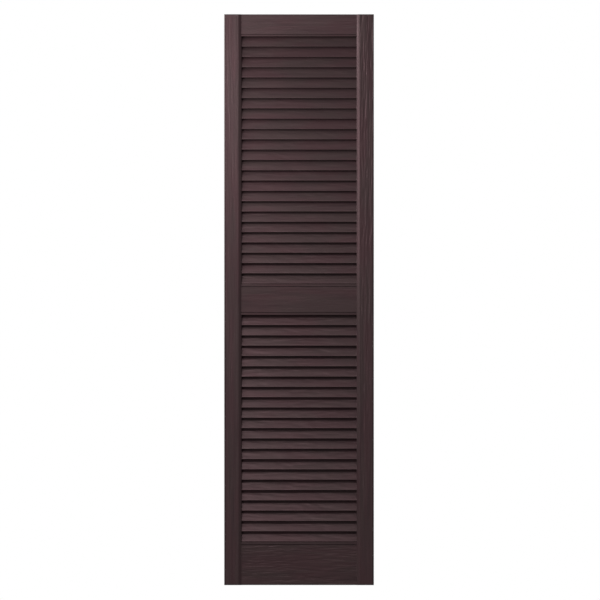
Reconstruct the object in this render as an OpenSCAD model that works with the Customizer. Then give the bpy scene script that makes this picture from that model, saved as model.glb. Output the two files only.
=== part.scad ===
// Louvred exterior shutter, moulded in one piece.
// X runs across the panel, Y is its depth and Z is up. The back rim lies in
// the plane Y = 0, the front faces -Y, and the origin is the centre of the
// back. Every wall lies along the mould's draw, so there are no undercuts.

/* [Panel] */
// Overall width across both stiles
panel_w = 368.3; // [280:0.1:480]
// Depth from the back rim to the stiles' front face
panel_d = 28; // [27:0.5:40]

/* [Louvres] */
// Louvres in the field above the middle rail
upper_louvres = 24; // [6:1:30]
// Louvres in the field below the middle rail
lower_louvres = 22; // [6:1:30]
// Height from one louvre's nose to the next
louvre_pitch = 25.4; // [22:0.1:30]
// Depth of a louvre's nose below the stiles' face
nose_depth = 6.2; // [5.5:0.1:7]
// How far each louvre slopes back from its nose to its top edge
louvre_slope = 12.8; // [10:0.1:13]
// Radius of a louvre's nose
nose_r = 1; // [0.8:0.1:2]

/* [Rails] */
// Height of the top rail
top_rail_h = 54.1; // [40:0.1:90]
// Height of the middle rail
middle_rail_h = 76.6; // [50:0.1:120]
// Height of the bottom rail
bottom_rail_h = 106.5; // [60:0.1:160]
// Depth of the rails' face below the stiles' face
rail_depth = 5; // [4:0.1:5.2]
// Width of the bead along the top rail's louvre edge
top_lip_w = 3.2; // [3:0.1:6]
// Width of the beads along the other rails' louvre edges
lip_w = 4.6; // [3:0.1:6]

/* [Stiles] */
// Width of a stile's flat face
stile_face_w = 35; // [28:0.1:45]
// Width of the sloping moulding along a stile's inner edge
stile_slope_w = 7.2; // [6:0.1:9]

/* [Moulding] */
// Thickness of the front skin
skin_t = 2.4; // [1.8:0.1:2.6]
// Thickness of the walls that stand behind the skin
wall_t = 2.4; // [1.8:0.1:3]
// Thickness of a stiffening rib
rib_t = 1.8; // [1.2:0.1:2.4]
// Radius along the panel's outer front edges
arris_r = 2; // [1:0.1:2.2]
// Cells between the cross ribs in each stile
stile_cells = 13; // [7:2:17]
// Columns between the upright ribs behind the louvres
field_columns = 4; // [2:1:6]

/* [Fixings] */
// Outer diameter of a fixing boss
boss_d = 13; // [11:0.5:14]
// Diameter of the pilot bore in a fixing boss
bore_d = 6.4; // [5:0.1:7]
// Distance of a corner boss from the panel's end
boss_end = 76.2; // [60:0.1:90]

/* [Hidden] */
panel_colour = [0.28, 0.22, 0.225];

upper_h = upper_louvres * louvre_pitch;
lower_h = lower_louvres * louvre_pitch;
panel_h = top_rail_h + upper_h + middle_rail_h + lower_h + bottom_rail_h;
z_top = panel_h / 2;
z_upper_top = z_top - top_rail_h;
z_upper_bottom = z_upper_top - upper_h;
z_lower_top = z_upper_bottom - middle_rail_h;
z_lower_bottom = z_lower_top - lower_h;
z_middle = (z_upper_bottom + z_lower_top) / 2;

x_out = panel_w / 2;
x_face = x_out - stile_face_w;
x_field = x_face - stile_slope_w;
draft_x = 0.4;   // the stiles' inner walls lean in by this much at the back
draft_z = 0.3;   // each louvre's underside falls by this much towards the back
slope_d = 5.3;   // depth of the stile's moulding where it meets the field's wall
bulge = 0.35;    // how far the moulding swells beyond a straight slope
line_w = 1.8;    // the fine groove between a rail's face and its bead
line_d = 1.6;
gap_w = 1.2;     // the slot between the lowest louvre and the rail below it
lip_r = 0.6;     // rounding of a rail bead's free edge
boss_x = x_out - stile_face_w / 2;

tilt = atan(louvre_slope / louvre_pitch);
ledge_t = skin_t * 0.92;            // thickness of a louvre's underside
slope = tan(tilt);
skin_y = skin_t / cos(tilt);        // the sloping skin, measured along the depth

// Points round an arc, from angle a to angle b, in n steps
function arc(cx, cy, r, a, b, n) =
    [for (i = [0:n]) let (t = a + (b - a) * i / n) [cx + r * cos(t), cy + r * sin(t)]];

// The stile's moulding from its face down to the field, as [x, depth]
slope_l = norm([stile_slope_w, slope_d]);
function moulding(n) =
    [for (i = [0:n]) let (t = i / n, b = bulge * 4 * t * (1 - t) / slope_l)
        [x_face - stile_slope_w * t - slope_d * b, slope_d * t - stile_slope_w * b]];

// A louvre's nose, where [0, 0] would be its sharp corner, as [depth, height]
function nose() = arc(slope * nose_r + nose_r / cos(tilt), nose_r, nose_r,
                      -180 - tilt, -270 + 180, 5);

// Front line of one field of louvres, from its top down to its lowest nose.
// The top edge of the field is z1, and the lowest nose is at z0.
function field_front(z0, n) =
    [for (k = [n - 1:-1:0])
        let (z = z0 + k * louvre_pitch)
        each concat(
            [[nose_depth + louvre_slope - slope * draft_z, z + louvre_pitch - draft_z]],
            [for (p = nose()) [nose_depth + p[0], z + p[1]]])];

// The fine groove in a rail's face, from its upper edge z going down
function line_cut(z) =
    [[rail_depth, z], [rail_depth + line_d, z - line_w * 0.16],
     [rail_depth + line_d, z - line_w * 0.8], [rail_depth, z - line_w]];

// A rail's bead of width w and its fine groove at its lower edge z, going down
function rail_foot(z, w) = concat(
    line_cut(z + w + line_w),
    [[rail_depth, z + w]],
    arc(rail_depth + lip_r, z + lip_r, lip_r, 180, 270, 4));

// A rail's upper edge z, with the slot under the lowest louvre, going down
function rail_head(z) = concat(
    [[nose_depth + 3.2, z], [nose_depth + 3.2, z - gap_w]],
    arc(rail_depth + lip_r, z - gap_w - lip_r, lip_r, 90, 180, 4),
    line_cut(z - gap_w - lip_w));

// The front line of the part between the stiles, top to bottom
function front_line() = concat(
    arc(rail_depth + arris_r, z_top - arris_r, arris_r, 90, 180, 5),
    rail_foot(z_upper_top, top_lip_w),
    field_front(z_upper_bottom, upper_louvres),
    rail_head(z_upper_bottom),
    rail_foot(z_lower_top, lip_w),
    field_front(z_lower_bottom, lower_louvres),
    rail_head(z_lower_bottom),
    arc(rail_depth + arris_r, -z_top + arris_r, arris_r, 180, 270, 5));

// The back line of the skin behind one field of louvres, bottom to top
function field_back(z0, n) =
    [for (k = [0:n - 1])
        let (z = z0 + k * louvre_pitch,
             d = nose_depth + skin_y + slope * ledge_t)
        each k < n - 1
            ? [[d, z + ledge_t], [d + louvre_slope, z + louvre_pitch + ledge_t]]
            : [[d, z + ledge_t], [nose_depth + louvre_slope + skin_y, z + louvre_pitch]]];

// Draws [depth, height] points as a solid of width w, centred at x
module across(points, x, w)
    translate([x, 0, 0])
        rotate([90, 0, 90])
            linear_extrude(height = w, center = true)
                polygon([for (p = points) [p[0] - panel_d, p[1]]]);

// Rails and louvres, solid back to the rim
module centre_form()
    across(concat(front_line(), [[panel_d, -z_top], [panel_d, z_top]]),
           0, 2 * (x_field + wall_t / 2));

// Section of the right-hand stile: flat face, sloping moulding and wall
module stile_section()
    polygon([for (p = concat(
        arc(x_out - arris_r, arris_r, arris_r, 0, -90, 6),
        moulding(10),
        [[x_field - draft_x, panel_d], [x_out, panel_d]]))
        [p[0], p[1] - panel_d]]);

// One stile, solid, with its ends rounded at the front
module stile_form()
    intersection() {
        translate([0, 0, -z_top]) linear_extrude(height = panel_h) stile_section();
        across(concat(arc(arris_r, z_top - arris_r, arris_r, 90, 180, 6),
                      arc(arris_r, -z_top + arris_r, arris_r, 180, 270, 6),
                      [[panel_d, -z_top], [panel_d, z_top]]),
               x_out - 30, 120);
    }

// Hollow of one stile, cut into cells by the cross ribs
module stile_hollow() {
    clear = panel_h - 2 * wall_t;
    cell = (clear - (stile_cells - 1) * rib_t) / stile_cells;
    inner = skin_t * slope_l / stile_slope_w;   // the moulding's skin, along the depth
    fall = slope_d / stile_slope_w;
    difference() {
        for (i = [0:stile_cells - 1])
            translate([0, 0, -z_top + wall_t + i * (cell + rib_t)])
                linear_extrude(height = cell)
                    polygon([for (p = [
                        [x_out - wall_t, panel_d + 1], [x_out - wall_t, skin_t],
                        [x_face + (inner - skin_t) / fall, skin_t],
                        [x_field + wall_t, inner + fall * (stile_slope_w - wall_t)],
                        [x_field + wall_t, panel_d + 1]])
                        [p[0], p[1] - panel_d]]);
        for (z = [z_top - boss_end, z_middle, -z_top + boss_end])
            translate([boss_x, 1, z]) rotate([90, 0, 0])
                cylinder(h = panel_d + 2, d = boss_d, $fn = 64);
    }
}

// Pilot bores of one stile's bosses, blind behind the face
module stile_bores()
    for (z = [z_top - boss_end, z_middle, -z_top + boss_end])
        translate([boss_x, 1, z]) rotate([90, 0, 0])
            cylinder(h = panel_d - skin_t + 1, d = bore_d, $fn = 64);

// Hollows behind the rails and louvres, one column between each pair of ribs
module centre_hollow() {
    clear = 2 * (x_field - draft_x);
    col = (clear - (field_columns - 1) * rib_t) / field_columns;
    rail_back = rail_depth + skin_t;
    for (i = [0:field_columns - 1]) {
        x = -clear / 2 + col / 2 + i * (col + rib_t);
        for (f = [[z_upper_bottom, z_upper_top, upper_louvres],
                  [z_lower_bottom, z_lower_top, lower_louvres]])
            across(concat([[panel_d + 1, f[0] + ledge_t]],
                          field_back(f[0], f[2]),
                          [[panel_d + 1, f[1]]]), x, col);
        for (r = [[z_upper_top + ledge_t, z_top - wall_t, 0],
                  [z_lower_top + ledge_t, z_upper_bottom - gap_w - wall_t, 0],
                  [-z_top + wall_t, z_lower_bottom - gap_w - wall_t, 0]])
            across([[rail_back, r[0]], [rail_back, r[1]],
                    [panel_d + 1, r[1]], [panel_d + 1, r[0]]], x, col);
    }
}

// The whole moulding
module shutter_panel() {
    color(panel_colour)
        difference() {
            union() {
                centre_form();
                stile_form();
                mirror([1, 0, 0]) stile_form();
            }
            centre_hollow();
            for (s = [0, 1]) mirror([s, 0, 0]) {
                stile_hollow();
                stile_bores();
            }
        }
}

shutter_panel();
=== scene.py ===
"""Looks of a louvred shutter panel moulded in one piece.

The panel is one closed mesh that stands for the CAD node of the same shape,
with rounded edges, finer curves and an embossed grain. Lengths in the mesh code
are millimetres. A point is (x, z, depth), with depth counted from the front
face of the stiles towards the wall.
"""

import math

import bpy
import bmesh
import numpy as np
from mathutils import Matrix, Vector


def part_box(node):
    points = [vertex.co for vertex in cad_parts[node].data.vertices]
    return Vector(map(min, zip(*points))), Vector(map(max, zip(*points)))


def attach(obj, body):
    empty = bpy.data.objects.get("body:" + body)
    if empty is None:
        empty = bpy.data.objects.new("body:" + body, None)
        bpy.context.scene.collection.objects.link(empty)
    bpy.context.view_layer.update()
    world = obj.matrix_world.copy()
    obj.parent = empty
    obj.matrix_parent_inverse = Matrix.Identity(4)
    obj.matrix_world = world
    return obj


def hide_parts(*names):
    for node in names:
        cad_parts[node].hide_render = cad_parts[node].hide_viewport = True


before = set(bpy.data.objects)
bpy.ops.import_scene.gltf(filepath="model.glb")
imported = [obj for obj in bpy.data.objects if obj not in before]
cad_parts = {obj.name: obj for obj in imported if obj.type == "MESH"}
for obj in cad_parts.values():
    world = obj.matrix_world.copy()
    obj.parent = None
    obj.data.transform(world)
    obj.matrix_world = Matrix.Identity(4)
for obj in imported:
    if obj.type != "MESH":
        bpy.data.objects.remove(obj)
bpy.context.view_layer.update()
lo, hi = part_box("shutter_panel")

# ------------------------------------------------------------ dimensions
W = (hi.x - lo.x) * 1000.0
D = (hi.y - lo.y) * 1000.0
H = (hi.z - lo.z) * 1000.0
PITCH = 25.4
TOP_RAIL, MIDDLE_RAIL = 54.1, 76.6
UPPER_N, LOWER_N = 24, 22
Z_TOP = H / 2
Z_UT = Z_TOP - TOP_RAIL
Z_UB = Z_UT - UPPER_N * PITCH
Z_LT = Z_UB - MIDDLE_RAIL
Z_LB = Z_LT - LOWER_N * PITCH
X_OUT = W / 2
X_FACE = X_OUT - 35.0
X_FIELD = X_FACE - 7.2
ARRIS = 2.0
SLOPE_W, SLOPE_D, BULGE = 7.2, 5.3, 0.35
SLOPE_L = math.hypot(SLOPE_W, SLOPE_D)
RAIL = 5.0
NOSE, RISE, NOSE_R = 6.2, 12.8, 1.0
DRAFT_Z, DRAFT_X = 0.3, 0.4
TOP_LIP, LIP, LINE_W, LINE_D, GAP, LIP_R = 3.2, 4.6, 1.8, 1.6, 1.2, 0.6
SKIN, WALL, RIB = 2.4, 2.4, 1.8
SLOPE = RISE / PITCH
TILT = math.atan(SLOPE)
SKIN_Y = SKIN / math.cos(TILT)
LEDGE = SKIN * 0.92
BOSS_R, BORE_R = 6.5, 3.2


# ------------------------------------------------------------ smooth noise
def lattice(ix, iy, seed):
    """A fixed value from 0 to 1 for each whole-number point."""
    h = (ix.astype(np.int64) * 374761393 + iy.astype(np.int64) * 668265263
         + np.int64(seed) * 1442695041) & 0xFFFFFFFF
    h = ((h ^ (h >> 13)) * 1274126177) & 0xFFFFFFFF
    h = ((h ^ (h >> 16)) * 2246822519) & 0xFFFFFFFF
    return ((h ^ (h >> 15)) & 0xFFFFFF) / float(0xFFFFFF)


def noise(x, y, seed):
    x, y = np.broadcast_arrays(np.asarray(x, float), np.asarray(y, float))
    ix, iy = np.floor(x), np.floor(y)
    fx, fy = x - ix, y - iy
    fx, fy = fx * fx * (3 - 2 * fx), fy * fy * (3 - 2 * fy)
    a, b = lattice(ix, iy, seed), lattice(ix + 1, iy, seed)
    c, d = lattice(ix, iy + 1, seed), lattice(ix + 1, iy + 1, seed)
    return (a * (1 - fx) + b * fx) * (1 - fy) + (c * (1 - fx) + d * fx) * fy


def soft(x, a, b):
    t = np.clip((x - a) / (b - a), 0, 1)
    return t * t * (3 - 2 * t)


def grain(along, across, seed, wander=7.0):
    """Depth of straight embossed grain, from 0 to 1: long wavering lines."""
    v = across + wander * (noise(along / 190.0, across / 60.0, seed) - 0.5)
    v = v + 0.3 * wander * (noise(along / 47.0, across / 22.0, seed + 1) - 0.5)
    lines = noise(along / 140.0, v / 2.9, seed + 2)
    fine = noise(along / 45.0, v / 1.9, seed + 3)
    fade = 0.35 + 0.65 * noise(along / 110.0, across / 14.0, seed + 4)
    return np.clip(soft(0.66 * lines + 0.34 * fine, 0.30, 0.70) * fade, 0, 1)


def board(along, across, seed, heart, height, dense):
    """Depth of a wide board's grain: short ticks along arches about a wandering heart line."""
    core = heart + 0.30 * height * (noise(along / 120.0, 0.0, seed) - 0.5)
    off = (across - core) / (0.5 * height)
    lift = 9.0 * np.exp(-off * off * 1.6) * (noise(along / 75.0, off * 0.6, seed + 1) - 0.5)
    v = across + lift * 1.7 + 3.0 * (noise(along / 38.0, across / 11.0, seed + 2) - 0.5)
    ticks = noise(along / 19.0, v / 2.3, seed + 3)
    long = noise(along / 48.0, v / 3.0, seed + 4)
    where = noise(along / 60.0, across / 13.0, seed + 5)
    cut = 0.40 if dense else 0.60
    share = 0.4 if dense else 0.25
    return np.clip(soft((1 - share) * ticks + share * long, cut, cut + 0.22)
                   * soft(where, 0.05 if dense else 0.30, 0.45 if dense else 0.62), 0, 1)


# ------------------------------------------------------------ mesh builder
class Builder:
    def __init__(self):
        self.points, self.faces, self.mats = [], [], []

    def add(self, x, z, depth):
        self.points.append((x, z, depth))
        return len(self.points) - 1

    def grid(self, xs, zs, depths):
        """Vertices at every x and z line; returns their numbers as [x, z]."""
        index = np.empty((len(xs), len(zs)), int)
        for i in range(len(xs)):
            for j in range(len(zs)):
                index[i, j] = self.add(xs[i], zs[j], depths[i, j])
        return index

    def fill(self, index, mat, skip=None):
        for i in range(index.shape[0] - 1):
            for j in range(index.shape[1] - 1):
                if skip is not None and skip(i, j):
                    continue
                self.face((index[i, j], index[i + 1, j], index[i + 1, j + 1], index[i, j + 1]), mat)

    def face(self, corners, mat):
        self.faces.append(tuple(int(c) for c in corners))
        self.mats.append(mat)

    def zip(self, a, ta, b, tb, mat):
        """Triangles between two rows of vertices that run the same way."""
        i = j = 0
        while i < len(a) - 1 or j < len(b) - 1:
            go_a = j == len(b) - 1 or (
                i < len(a) - 1 and ta[i] + ta[i + 1] <= tb[j] + tb[j + 1])
            if go_a:
                self.face((a[i], a[i + 1], b[j]), mat)
                i += 1
            else:
                self.face((a[i], b[j + 1], b[j]), mat)
                j += 1


# the fourth material is the same plastic at 0.45 of its colour: painted shade on the outer edges, sides, grooves and
# slots
STILE_MAT, FIELD_MAT, PLAIN_MAT, PAINTED_SHADE_MAT = 0, 1, 2, 3
mesh_b = Builder()


def span(a, b, n):
    return [a + (b - a) * k / n for k in range(1, n)]


# ------------------------------------------------------------ stiles, front
stile_x = []          # (x, depth, how much grain it carries), outer edge first
for k in range(7):
    t = math.radians(90 * k / 6)
    stile_x.append((X_OUT - ARRIS + ARRIS * math.cos(t), ARRIS - ARRIS * math.sin(t), k / 40.0))
stile_x.append((X_OUT - ARRIS - 1.4, 0.0, 0.5))
for x in span(X_OUT - ARRIS - 1.4, X_FACE + 0.35, 28):
    stile_x.append((x, 0.0, 1.0))
stile_x += [(X_FACE + 0.35, 0.0, 0.6)]


def moulding(t):
    """Outline of the stile's inner moulding: t is 0 at the face and 1 at the field. Gives x and depth."""
    b = BULGE * 4 * t * (1 - t) / SLOPE_L
    return X_FACE - SLOPE_W * t - SLOPE_D * b, SLOPE_D * t - SLOPE_W * b


SLOPE_STEPS = 12
slope_end = min((k / 2000 for k in range(2001)), key=lambda t: abs(moulding(t)[1] - RAIL))    # level with the rails' face
stile_x.append((X_FACE - 0.02, 0.05, 0.0))
for k in range(SLOPE_STEPS):
    stile_x.append((*moulding(0.04 + (slope_end - 0.04) * k / SLOPE_STEPS), 0.35 if k else 0.0))

stile_z = []          # (z, least depth), top first
for k in range(6):
    t = math.radians(90 * k / 5)
    stile_z.append((Z_TOP - ARRIS + ARRIS * math.cos(t), ARRIS - ARRIS * math.sin(t)))
stile_z += [(z, 0.0) for z in span(Z_TOP - ARRIS, -Z_TOP + ARRIS, 300)]
stile_z += [(-z, d) for z, d in reversed(stile_z[:6])]

sx = np.array([p[0] for p in stile_x])
sd = np.array([p[1] for p in stile_x])
sg = np.array([p[2] for p in stile_x])
sz = np.array([p[0] for p in stile_z])
se = np.array([p[1] for p in stile_z])
end_fade = np.clip((Z_TOP - np.abs(sz)) / 3.0, 0, 1)

stile_index = {}
for side in (-1, 1):
    relief = grain(sz[None, :] + 4000, sx[:, None] * side, 11 if side < 0 else 23, 7.0 if side < 0 else 3.0)
    if side > 0:      # the right stile's grain is deeper and more broken
        ticks = noise(sz[None, :] / 24.0, (sx[:, None] + 2.0 * noise(sz[None, :] / 90.0, 0.0, 71)) / 2.5, 72)
        relief = 0.80 * relief + 0.55 * soft(ticks, 0.50, 0.78)
    deep = 0.15 if side < 0 else 0.42 + 0.27 * sz / Z_TOP
    deep = np.broadcast_to(deep, sz.shape)
    depth = np.maximum(sd[:, None], se[None, :]) + deep[None, :] * relief * sg[:, None] * end_fade[None, :]
    depth[0, :] = ARRIS
    stile_index[side] = mesh_b.grid(side * sx, sz, depth)
    rows = stile_index[side]
    mesh_b.fill(rows[7:, 5:-5], STILE_MAT)
    # the outer rounding, the 1.4 mm strip beside it and the stile ends take the darkened material: a painted dark
    # outline
    mesh_b.fill(rows[:8], PAINTED_SHADE_MAT)
    mesh_b.fill(rows[7:, :6], PAINTED_SHADE_MAT)
    mesh_b.fill(rows[7:, -6:], PAINTED_SHADE_MAT)

# ------------------------------------------------------------ field, front
# One line down the middle of the panel, top first: (z, depth, kind, number)
line = []


def put(z, d, kind="plain", number=0):
    line.append((z, d, kind, number))


def face_lines(z1, z0, number, step=1.15):
    """The flat face of a rail from z1 down to z0."""
    n = max(2, int(round((z1 - z0) / step)))
    put(z1, RAIL, "rail", number)
    for z in span(z1, z0, n):
        put(z, RAIL, "rail", number)
    put(z0, RAIL, "rail", number)


def groove(z, number):
    """The fine groove centred on z, with softened edges."""
    put(z + LINE_W * 0.46, RAIL + 0.1, "groove")
    put(z + LINE_W * 0.36, RAIL + LINE_D, "groove")
    put(z - LINE_W * 0.30, RAIL + LINE_D, "groove")
    put(z - LINE_W * 0.46, RAIL + 0.1, "groove")


def foot(z, w, number):
    """Lower edge of a rail: groove, bead and rounded corner."""
    groove(z + w + LINE_W / 2, number)
    put(z + w, RAIL)
    put(z + w * 0.55, RAIL - 0.12 + 0.12)
    for k in range(5):
        t = math.radians(90 * k / 4)
        put(z + LIP_R - LIP_R * math.sin(t), RAIL + LIP_R - LIP_R * math.cos(t))


def head(z, number):
    """Upper edge of a rail, under the slot below the lowest louvre."""
    put(z - 0.1, NOSE + 3.1, "groove")
    put(z - GAP + 0.1, NOSE + 3.1, "groove")
    for k in range(5):
        t = math.radians(90 * k / 4)
        put(z - GAP - LIP_R + LIP_R * math.cos(t), RAIL + LIP_R - LIP_R * math.sin(t))
    put(z - GAP - LIP * 0.6, RAIL)
    put(z - GAP - LIP, RAIL)
    groove(z - GAP - LIP - LINE_W / 2, number)


def louvre(z, number):
    """One louvre with its nose at z, from its top edge down."""
    h1, h0 = PITCH - DRAFT_Z, NOSE_R + NOSE_R * math.sin(TILT)
    put(z + h1, NOSE + SLOPE * h1, "louvre", number)
    for h in span(h1, h0, 10):
        put(z + h, NOSE + SLOPE * h, "louvre", number)
    cx = SLOPE * NOSE_R + NOSE_R / math.cos(TILT)
    for k in range(5):
        t = math.radians(-180) - TILT + (math.radians(90) + TILT) * k / 4
        put(z + NOSE_R + NOSE_R * math.sin(t), NOSE + cx + NOSE_R * math.cos(t), "nose", number)


for k in range(5):
    t = math.radians(90 * k / 5)
    put(Z_TOP - ARRIS + ARRIS * math.cos(t), RAIL + ARRIS - ARRIS * math.sin(t))
face_lines(Z_TOP - ARRIS, Z_UT + TOP_LIP + LINE_W, 1)
foot(Z_UT, TOP_LIP, 1)
for k in range(UPPER_N - 1, -1, -1):
    louvre(Z_UB + k * PITCH, 100 + k)
head(Z_UB, 2)
face_lines(Z_UB - GAP - LIP - LINE_W, Z_LT + LIP + LINE_W, 2)
foot(Z_LT, LIP, 2)
for k in range(LOWER_N - 1, -1, -1):
    louvre(Z_LB + k * PITCH, 200 + k)
head(Z_LB, 3)
face_lines(Z_LB - GAP - LIP - LINE_W, -Z_TOP + ARRIS, 3)
for k in range(1, 6):
    t = math.radians(90 - 90 * k / 5)
    put(-Z_TOP + ARRIS - ARRIS * math.cos(t), RAIL + ARRIS - ARRIS * math.sin(t))

lz = np.array([p[0] for p in line])
ld = np.array([p[1] for p in line])

edge_x = [(moulding(slope_end)[0], "rail_edge"),
          (X_FIELD, "wall_top"),
          (X_FIELD - 0.15, "wall_foot"),
          (X_FIELD - 0.35, "fillet"),
          (X_FIELD - 0.7, "face"),
          (X_FIELD - 1.2, "face")]
inner = span(X_FIELD - 1.2, -X_FIELD + 1.2, 50)
field_x = ([x for x, _ in edge_x] + inner + [-x for x, _ in reversed(edge_x)])
field_k = ([k for _, k in edge_x] + ["face"] * len(inner) + [k for _, k in reversed(edge_x)])
fx = np.array(field_x)

WALL_TOP = SLOPE_D
field_d = np.empty((len(fx), len(lz)))
for i, kind in enumerate(field_k):
    if kind == "rail_edge":
        field_d[i] = np.minimum(RAIL, ld)
    elif kind == "wall_top":
        field_d[i] = np.minimum(WALL_TOP, ld)
    elif kind == "wall_foot":
        field_d[i] = np.maximum(np.minimum(WALL_TOP, ld), ld - 0.6)
    elif kind == "fillet":
        field_d[i] = np.maximum(np.minimum(WALL_TOP, ld), ld - 0.17)
    else:
        field_d[i] = ld

carries = np.array([k == "face" for k in field_k], float)
for j, (z, d, kind, number) in enumerate(line):
    if kind == "rail":
        centre, height = {1: (Z_UT + 30, 46.0), 2: ((Z_UB + Z_LT) / 2, 62.0),
                          3: (-Z_TOP + 46, 96.0)}[number]
        amount = {1: 0.28, 2: 0.18, 3: 0.64}[number] * board(
            fx + 700 * number, np.full_like(fx, z), 31 * number, centre, height, number == 3)
        amount = amount + (0.10 if number == 3 else 0.05) * grain(fx + 700 * number, np.full_like(fx, z), 31 * number + 9)
        field_d[:, j] += amount * carries
    elif kind == "louvre":
        base = Z_UB if number < 200 else Z_LB
        h = z - (base + (number % 100) * PITCH)
        window = min(1.0, max(0.0, PITCH - DRAFT_Z - h - 3.0) / 7.0) * min(1.0, max(0.0, (h - 2.0) / 2.0))
        bend = 16.0 * (noise((fx + 170 * number) / 85.0, 0.0, 500 + number) - 0.5)
        figure = noise((fx + 900 + 310 * number) / 23.0, (h + bend) / 3.6, 60 + number)
        amount = 0.36 * soft(figure, 0.50, 0.80) + 0.28 * grain(fx + 900 + 310 * number, np.full_like(fx, h), 260 + number)
        field_d[:, j] += amount * carries * window

field_index = mesh_b.grid(fx, lz, field_d)
sunk = {j for j in range(len(line) - 1) if line[j][2] == line[j + 1][2] == "groove"}
mesh_b.fill(field_index[:, 5:-5], FIELD_MAT, lambda i, j: j + 5 in sunk)
# the groove and slot faces take the darkened material: painted shade in the recesses
for j in sunk:
    mesh_b.fill(field_index[:, j:j + 2], PAINTED_SHADE_MAT)
# the rounded top and bottom ends of the field take the darkened material: a painted dark outline
mesh_b.fill(field_index[:, :6], PAINTED_SHADE_MAT)
mesh_b.fill(field_index[:, -6:], PAINTED_SHADE_MAT)
mesh_b.zip(stile_index[1][-1], -sz, field_index[0], -lz, STILE_MAT)
mesh_b.zip(stile_index[-1][-1], -sz, field_index[-1], -lz, STILE_MAT)

# ------------------------------------------------------------ back
EPS = 0.03
cell_n = 13
clear_z = H - 2 * WALL
cell = (clear_z - (cell_n - 1) * RIB) / cell_n
cells = [(-Z_TOP + WALL + i * (cell + RIB), -Z_TOP + WALL + i * (cell + RIB) + cell) for i in range(cell_n)]
clear_x = 2 * (X_FIELD - DRAFT_X)
cols_n = 4
col = (clear_x - (cols_n - 1) * RIB) / cols_n
columns = [(-clear_x / 2 + i * (col + RIB), -clear_x / 2 + i * (col + RIB) + col) for i in range(cols_n)]
rail_cells = [(Z_UT + LEDGE, Z_TOP - WALL), (Z_LT + LEDGE, Z_UB - GAP - WALL), (-Z_TOP + WALL, Z_LB - GAP - WALL)]
fields = [(Z_UB, Z_UT, UPPER_N), (Z_LB, Z_LT, LOWER_N)]
inner_d = SKIN * SLOPE_L / SLOPE_W        # the moulding's skin, measured along the depth
fall = SLOPE_D / SLOPE_W
hollow = [(X_FACE + (inner_d - SKIN) / fall, SKIN), (X_FIELD + WALL, inner_d + fall * (SLOPE_W - WALL))]


def back_depth(x, z):
    x0 = x
    x = abs(x)
    if x > X_OUT - WALL:
        return D
    if x > hollow[-1][0] - 0.02:
        if not any(a < z < b for a, b in cells):
            return D
        (xa, da), (xb, db) = hollow
        return da + (db - da) * min(max((xa - x) / (xa - xb), 0.0), 1.0)
    if x > X_FIELD - DRAFT_X:
        return D
    if not any(a < x0 < b for a, b in columns):
        return D
    for a, b in rail_cells:
        if a < z < b:
            return RAIL + SKIN
    for z0, z1, n in fields:
        if z0 + LEDGE < z < z1:
            k = min(int((z - z0 - LEDGE) // PITCH), n - 1)
            return NOSE + SKIN_Y + SLOPE * LEDGE + SLOPE * (z - z0 - LEDGE - k * PITCH)
    return D


def step(where, up):
    """Two lines at a wall. The solid is on the side that up names."""
    e = EPS if up else -EPS
    return [(where, where + e * 0.5), (where - e, where - e * 1.5)]


bx = [(X_OUT, X_OUT - 0.5)] + step(X_OUT - WALL, True)
bx += [(x, x) for x, _ in hollow]
bx += [(hollow[-1][0] - 0.04, X_FIELD + 0.5)]
bx += step(X_FIELD - DRAFT_X, True)
for a, b in columns[2:]:
    if b < X_FIELD - DRAFT_X - 1:
        bx += step(b, False)
    bx += step(a, False) if a < 5 else []
bx += step(columns[3][0], False)
bx = [p for p in bx if p[0] > 0]
bx += [(-x, -e) for x, e in bx]
# the rib beside each column's left edge is solid below it, beside its right edge above it
bx = sorted(set((round(x, 5), round(e, 5)) for x, e in bx), reverse=True)

bz = [(Z_TOP, Z_TOP - 0.5), (-Z_TOP, -Z_TOP + 0.5)]
for a, b in cells + rail_cells:
    bz += [(b, b + EPS * 0.5), (b - EPS, b - EPS * 1.5), (a, a - EPS * 0.5), (a + EPS, a + EPS * 1.5)]
for z0, z1, n in fields:
    bz += [(z0 + LEDGE, z0 + LEDGE - EPS * 0.5), (z0 + LEDGE + EPS, z0 + LEDGE + EPS * 1.2)]
    bz += [(z1, z1 + EPS * 0.5), (z1 - EPS, z1 - EPS * 1.2)]
    for k in range(1, n):
        e = z0 + LEDGE + k * PITCH
        bz += [(e, e - 1e-4), (e + EPS, e + EPS)]
boss_z = [Z_TOP - 76.2, (Z_UB + Z_LT) / 2, -Z_TOP + 76.2]
boss_x = X_OUT - 35.0 / 2
for z in boss_z:
    bz += [(z + 9.5, z + 9.5), (z - 9.5, z - 9.5)]
merged = {}
for z, e in bz:
    merged.setdefault(round(z, 4), e)
bz = sorted(merged.items(), reverse=True)

bd = np.array([[back_depth(ex, ez) for _, ez in bz] for _, ex in bx])
bxs, bzs = np.array([p[0] for p in bx]), np.array([p[0] for p in bz])
back_index = mesh_b.grid(bxs, bzs, bd)

floor_i = [i for i in range(len(bxs)) if hollow[0][0] - 0.01 <= abs(bxs[i]) <= X_OUT - WALL - EPS + 0.001]
patches = {}
for side in (-1, 1):
    ii = [i for i in floor_i if bxs[i] * side > 0]
    for z in boss_z:
        jj = [j for j in range(len(bzs)) if abs(bzs[j] - z) <= 9.5 + 0.001]
        patches[(side, z)] = (min(ii), max(ii), min(jj), max(jj))


def in_patch(i, j):
    return any(i0 <= i < i1 and j0 <= j < j1 for i0, i1, j0, j1 in patches.values())


mesh_b.fill(back_index, PLAIN_MAT, in_patch)

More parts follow.
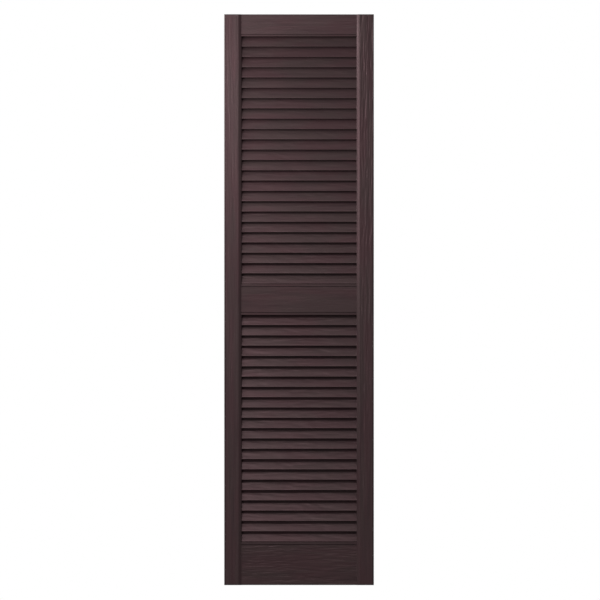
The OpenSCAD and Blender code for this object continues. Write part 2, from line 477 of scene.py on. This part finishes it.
RING = 48
for (side, z), (i0, i1, j0, j1) in patches.items():
    cx = side * boss_x
    loop = ([back_index[i, j0] for i in range(i0, i1)] + [back_index[i1, j] for j in range(j0, j1)]
            + [back_index[i, j1] for i in range(i1, i0, -1)] + [back_index[i0, j] for j in range(j1, j0, -1)])
    angle = [math.atan2(mesh_b.points[v][1] - z, mesh_b.points[v][0] - cx) for v in loop]
    order = sorted(range(len(loop)), key=lambda n: angle[n])
    loop, angle = [loop[n] for n in order], [angle[n] for n in order]
    loop, angle = loop + [loop[0]], angle + [angle[0] + 2 * math.pi]
    rings = []
    for r, d in ((BOSS_R, SKIN), (BOSS_R, D - 0.4), (BOSS_R - 0.4, D), (BORE_R + 0.3, D),
                 (BORE_R, D - 0.3), (BORE_R, SKIN)):
        rings.append([mesh_b.add(cx + r * math.cos(-math.pi + 2 * math.pi * k / RING),
                                 z + r * math.sin(-math.pi + 2 * math.pi * k / RING), d)
                      for k in range(RING)])
    start = [-math.pi + 2 * math.pi * k / RING for k in range(RING + 1)]
    shift = angle[0] + math.pi
    mesh_b.zip(rings[0] + [rings[0][0]], start, loop, [a - shift * 0 for a in angle], PLAIN_MAT)
    for a, b in zip(rings, rings[1:]):
        for k in range(RING):
            mesh_b.face((a[k], a[(k + 1) % RING], b[(k + 1) % RING], b[k]), PLAIN_MAT)
    hub = mesh_b.add(cx, z, SKIN)
    for k in range(RING):
        mesh_b.face((rings[-1][k], rings[-1][(k + 1) % RING], hub), PLAIN_MAT)

# ------------------------------------------------------------ the four sides
# the four side walls take the darkened material: painted shade
for end, zj in ((0, 0), (-1, -1)):
    front = (list(stile_index[1][:, end]) + list(field_index[:, end])
             + list(stile_index[-1][::-1, end]))
    front_x = [-mesh_b.points[v][0] for v in front]
    mesh_b.zip(front, front_x, list(back_index[:, zj]), list(-bxs), PAINTED_SHADE_MAT)
for side, bi in ((1, 0), (-1, -1)):
    mesh_b.zip(list(stile_index[side][0]), list(-sz), list(back_index[bi]), list(-bzs), PAINTED_SHADE_MAT)

# ------------------------------------------------------------ Blender mesh
pts = np.array(mesh_b.points)
co = np.empty_like(pts)
co[:, 0] = pts[:, 0] / 1000.0 + (lo.x + hi.x) / 2
co[:, 1] = lo.y + pts[:, 2] / 1000.0
co[:, 2] = pts[:, 1] / 1000.0 + (lo.z + hi.z) / 2
me = bpy.data.meshes.new("louvred_shutter")
me.from_pydata([tuple(p) for p in co], [], mesh_b.faces)
me.polygons.foreach_set("material_index", np.array(mesh_b.mats, np.int32))
bm = bmesh.new()
bm.from_mesh(me)
bmesh.ops.recalc_face_normals(bm, faces=bm.faces)
bm.to_mesh(me)
open_edges = sum(1 for e in bm.edges if len(e.link_faces) != 2)
volume = bm.calc_volume(signed=True)
bm.free()
me.shade_smooth()
me.set_sharp_from_angle(angle=math.radians(38))
me.update()
panel = bpy.data.objects.new("louvred_shutter", me)
bpy.context.scene.collection.objects.link(panel)
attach(panel, "root")
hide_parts("shutter_panel")
triangles = sum(len(f) - 2 for f in mesh_b.faces)
print(f"panel mesh: {len(pts)} points, {triangles} triangles, {open_edges} open edges, {volume * 1e6:.1f} cm3")


# ------------------------------------------------------------ materials
def nodes_of(name):
    m = bpy.data.materials.new(name)
    m.use_nodes = True
    nt = m.node_tree
    nt.nodes.clear()
    out = nt.nodes.new("ShaderNodeOutputMaterial")
    shader = nt.nodes.new("ShaderNodeBsdfPrincipled")
    nt.links.new(shader.outputs["BSDF"], out.inputs["Surface"])
    return m, nt, shader


def moulded(name, direction, shade=1.0):
    """Satin moulded plastic. direction is the grain's: 'up', 'level' or None. shade below 1 darkens every colour as
    painted shade.
    """
    dark, base, light, redder, greyer = (tuple(v * shade for v in c) for c in (DARK, BASE, LIGHT, REDDER, GREYER))
    m, nt, shader = nodes_of(name)
    new, link = nt.nodes.new, nt.links.new
    coord = new("ShaderNodeTexCoord")
    source = coord.outputs["Object"]

    def stretched(scale, offset=(0, 0, 0)):
        node = new("ShaderNodeMapping")
        node.inputs["Scale"].default_value = scale
        node.inputs["Location"].default_value = offset
        link(source, node.inputs["Vector"])
        return node.outputs["Vector"]

    def noise_of(vector, scale=1.0, detail=3.0, rough=0.55, distortion=0.0):
        node = new("ShaderNodeTexNoise")
        node.inputs["Scale"].default_value = scale
        node.inputs["Detail"].default_value = detail
        node.inputs["Roughness"].default_value = rough
        node.inputs["Distortion"].default_value = distortion
        link(vector, node.inputs["Vector"])
        return node.outputs["Fac"]

    def maths(kind, a, b=None, c=None):
        node = new("ShaderNodeMath")
        node.operation = kind
        for slot, v in enumerate((a, b, c)):
            if v is None:
                continue
            if isinstance(v, (int, float)):
                node.inputs[slot].default_value = v
            else:
                link(v, node.inputs[slot])
        return node.outputs[0]

    def remap(value, a, b, c, d):
        node = new("ShaderNodeMapRange")
        node.inputs["From Min"].default_value = a
        node.inputs["From Max"].default_value = b
        node.inputs["To Min"].default_value = c
        node.inputs["To Max"].default_value = d
        link(value, node.inputs["Value"])
        return node.outputs["Result"]

    if direction == "level":
        # each louvre is its own board: its number shifts the pattern sideways
        split = new("ShaderNodeSeparateXYZ")
        link(source, split.inputs[0])
        board = maths("FLOOR", maths("DIVIDE", maths("SUBTRACT", split.outputs["Z"], Z_UB / 1000.0), PITCH / 1000.0))
        joined = new("ShaderNodeCombineXYZ")
        link(maths("ADD", split.outputs["X"], maths("MULTIPLY", board, 0.731)), joined.inputs[0])
        link(maths("ADD", split.outputs["Y"], maths("MULTIPLY", board, 0.377)), joined.inputs[1])
        link(split.outputs["Z"], joined.inputs[2])
        source = joined.outputs[0]
        along_a, along_b, along_c, along_d = (11, 60, 230), (34, 90, 560), (5, 5, 70), (9, 9, 34)
    elif direction == "up":
        along_a, along_b, along_c, along_d = (230, 60, 7), (560, 90, 20), (70, 5, 4), (60, 9, 7)
    else:
        along_a, along_b, along_c, along_d = (60, 60, 60), (300, 300, 300), (9, 9, 9), (12, 12, 12)

    lines = noise_of(stretched(along_a), detail=3.0, rough=0.6, distortion=0.35)
    pores = noise_of(stretched(along_b, (3.1, 1.7, 5.3)), detail=2.0, rough=0.5)
    broad = noise_of(stretched(along_c, (7.7, 2.2, 1.1)), detail=2.0, rough=0.5)
    speck = noise_of(stretched((1500, 1500, 1500)), detail=1.0)
    patch = noise_of(stretched(along_d, (4.4, 9.1, 2.6)), detail=1.0, rough=0.4)

    tone = new("ShaderNodeValToRGB")
    ramp = tone.color_ramp
    ramp.elements[0].position, ramp.elements[0].color = 0.36, (*dark, 1)
    ramp.elements[1].position, ramp.elements[1].color = 0.64, (*light, 1)
    mid = ramp.elements.new(0.5)
    mid.color = (*base, 1)
    mixed = maths("ADD", maths("MULTIPLY", lines, 0.45), maths("MULTIPLY", broad, 0.55))
    link(mixed, tone.inputs["Fac"])
    colour = tone.outputs["Color"]
    for edge, pole in ((0.64, redder), (0.36, greyer)):
        hue = new("ShaderNodeMix")
        hue.data_type = "RGBA"
        hue.blend_type = "MIX"
        link(remap(patch, 0.50, edge, 0.0, 0.75), hue.inputs[0])
        link(colour, hue.inputs[6])
        hue.inputs[7].default_value = (*pole, 1)
        colour = hue.outputs[2]
    link(colour, shader.inputs["Base Color"])

    link(remap(maths("ADD", maths("MULTIPLY", lines, 0.6), maths("MULTIPLY", speck, 0.4)), 0.3, 0.7, ROUGH - 0.05, ROUGH + 0.07),
         shader.inputs["Roughness"])
    if direction:
        height = maths("ADD", maths("MULTIPLY", lines, 0.7),
                       maths("ADD", maths("MULTIPLY", pores, 0.4), maths("MULTIPLY", speck, 0.06)))
        strength, distance = 0.60, 0.00075
    else:
        height = maths("ADD", maths("MULTIPLY", lines, 0.3), maths("MULTIPLY", speck, 0.2))
        strength, distance = 0.15, 0.0002
    bump = new("ShaderNodeBump")
    bump.inputs["Strength"].default_value = strength
    bump.inputs["Distance"].default_value = distance
    link(height, bump.inputs["Height"])
    link(bump.outputs["Normal"], shader.inputs["Normal"])
    shader.inputs["Specular IOR Level"].default_value = 0.5
    shader.inputs["Specular Tint"].default_value = (1.0, 0.64, 0.68, 1)
    shader.inputs["IOR"].default_value = 1.49
    return m


BASE = (0.060, 0.0365, 0.0385)
DARK = (0.050, 0.0305, 0.0330)
LIGHT = (0.069, 0.0430, 0.0445)
REDDER = (0.0640, 0.0340, 0.0375)
GREYER = (0.0560, 0.0385, 0.0385)
ROUGH = 0.34
# the fourth material is painted shade: every colour at 0.45, for a dark outline at the edges and dark grooves
for m in (moulded("stile_grain", "up"), moulded("field_grain", "level"), moulded("smooth_back", None),
          moulded("painted_shade_edge", None, 0.45)):
    me.materials.append(m)

# ------------------------------------------------------------ room
sc = bpy.context.scene
sc.view_settings.view_transform = "Standard"
sc.view_settings.look = "None"

FLOOR_Z = lo.z - 0.32
floor_me = bpy.data.meshes.new("floor")
floor_me.from_pydata([(-2.6, -2.6, FLOOR_Z), (2.6, -2.6, FLOOR_Z), (2.6, 1.9, FLOOR_Z), (-2.6, 1.9, FLOOR_Z)],
                     [], [(0, 1, 2, 3)])
floor = bpy.data.objects.new("floor", floor_me)
sc.collection.objects.link(floor)
fm, fnt, fsh = nodes_of("grey_floor")
fsh.inputs["Base Color"].default_value = (0.45, 0.45, 0.45, 1)
fsh.inputs["Roughness"].default_value = 0.9
floor_me.materials.append(fm)

ROOM = 0.202
world = bpy.data.worlds.new("studio")
sc.world = world
world.use_nodes = True
wn = world.node_tree
wn.nodes["Background"].inputs["Color"].default_value = (1, 1, 1, 1)
wn.nodes["Background"].inputs["Strength"].default_value = ROOM
backdrop = wn.nodes.new("ShaderNodeBackground")
backdrop.inputs["Color"].default_value = (1, 1, 1, 1)
backdrop.inputs["Strength"].default_value = 1.0
seen = wn.nodes.new("ShaderNodeLightPath")
either = wn.nodes.new("ShaderNodeMixShader")
wn.links.new(seen.outputs["Is Camera Ray"], either.inputs[0])
wn.links.new(wn.nodes["Background"].outputs[0], either.inputs[1])
wn.links.new(backdrop.outputs[0], either.inputs[2])
wn.links.new(either.outputs[0], wn.nodes["World Output"].inputs["Surface"])


def area(name, where, target, size, power, colour=(1, 1, 1)):
    data = bpy.data.lights.new(name, "AREA")
    data.shape = "RECTANGLE"
    data.size, data.size_y = size
    data.energy = power
    data.color = colour
    ob = bpy.data.objects.new(name, data)
    sc.collection.objects.link(ob)
    ob.location = where
    ob.rotation_euler = (Vector(target) - Vector(where)).to_track_quat("-Z", "Y").to_euler()
    return ob


def placed(name, azimuth, elevation, reach, size, power):
    """A light aimed at the panel's middle, azimuth negative to the viewer's left."""
    a, e = math.radians(azimuth), math.radians(elevation)
    where = (reach * math.sin(a) * math.cos(e), -reach * math.cos(a) * math.cos(e), reach * math.sin(e))
    return area(name, where, (0, 0, 0), (size, size), power)


placed("key", -10, 32, 3.2, 0.5, 13.65)
placed("low", -25, 6, 7.0, 0.7, 47.1)
placed("near", -35, 35, 0.9, 0.35, 1.62)
placed("side", -60, 20, 0.9, 0.35, 1.53)
area("upper", (-0.71, -0.19, 0.75), (0, 0, 0), (0.35, 0.35), 2.95)
area("over", (-0.35, -0.45, 1.0), (0, 0, 0), (0.35, 0.35), 0.43)
# these two stand behind the panel's face and below its top, so they reach only its sides and back
rear = area("rear", (0.9, 2.0, 0.38), (0, 0, 0.02), (0.6, 0.6), 10.0)
rear.data.spread = math.radians(50)
flank = area("flank", (1.6, 0.5, 0.25), (0, 0, 0), (0.5, 0.5), 2.5)
flank.data.spread = math.radians(60)
for ob in (rear, flank):      # no glint along the right edge
    ob.visible_glossy = ob.visible_camera = False

# ------------------------------------------------------------ camera
MM_PER_PX = 2.4628
LENS = 400.0
cam_data = bpy.data.cameras.new("camera")
cam_data.sensor_width = 36.0
cam_data.lens = LENS
cam = bpy.data.objects.new("camera", cam_data)
sc.collection.objects.link(cam)
half_view = 300 * MM_PER_PX / 1000.0
distance = half_view / (18.0 / LENS)
cam.location = (0.95 * MM_PER_PX / 1000.0, lo.y + 0.006 - distance, -0.30 * MM_PER_PX / 1000.0)
cam.rotation_euler = (math.radians(90), 0, 0)
cam_data.clip_start, cam_data.clip_end = 0.1, 100
sc.camera = cam
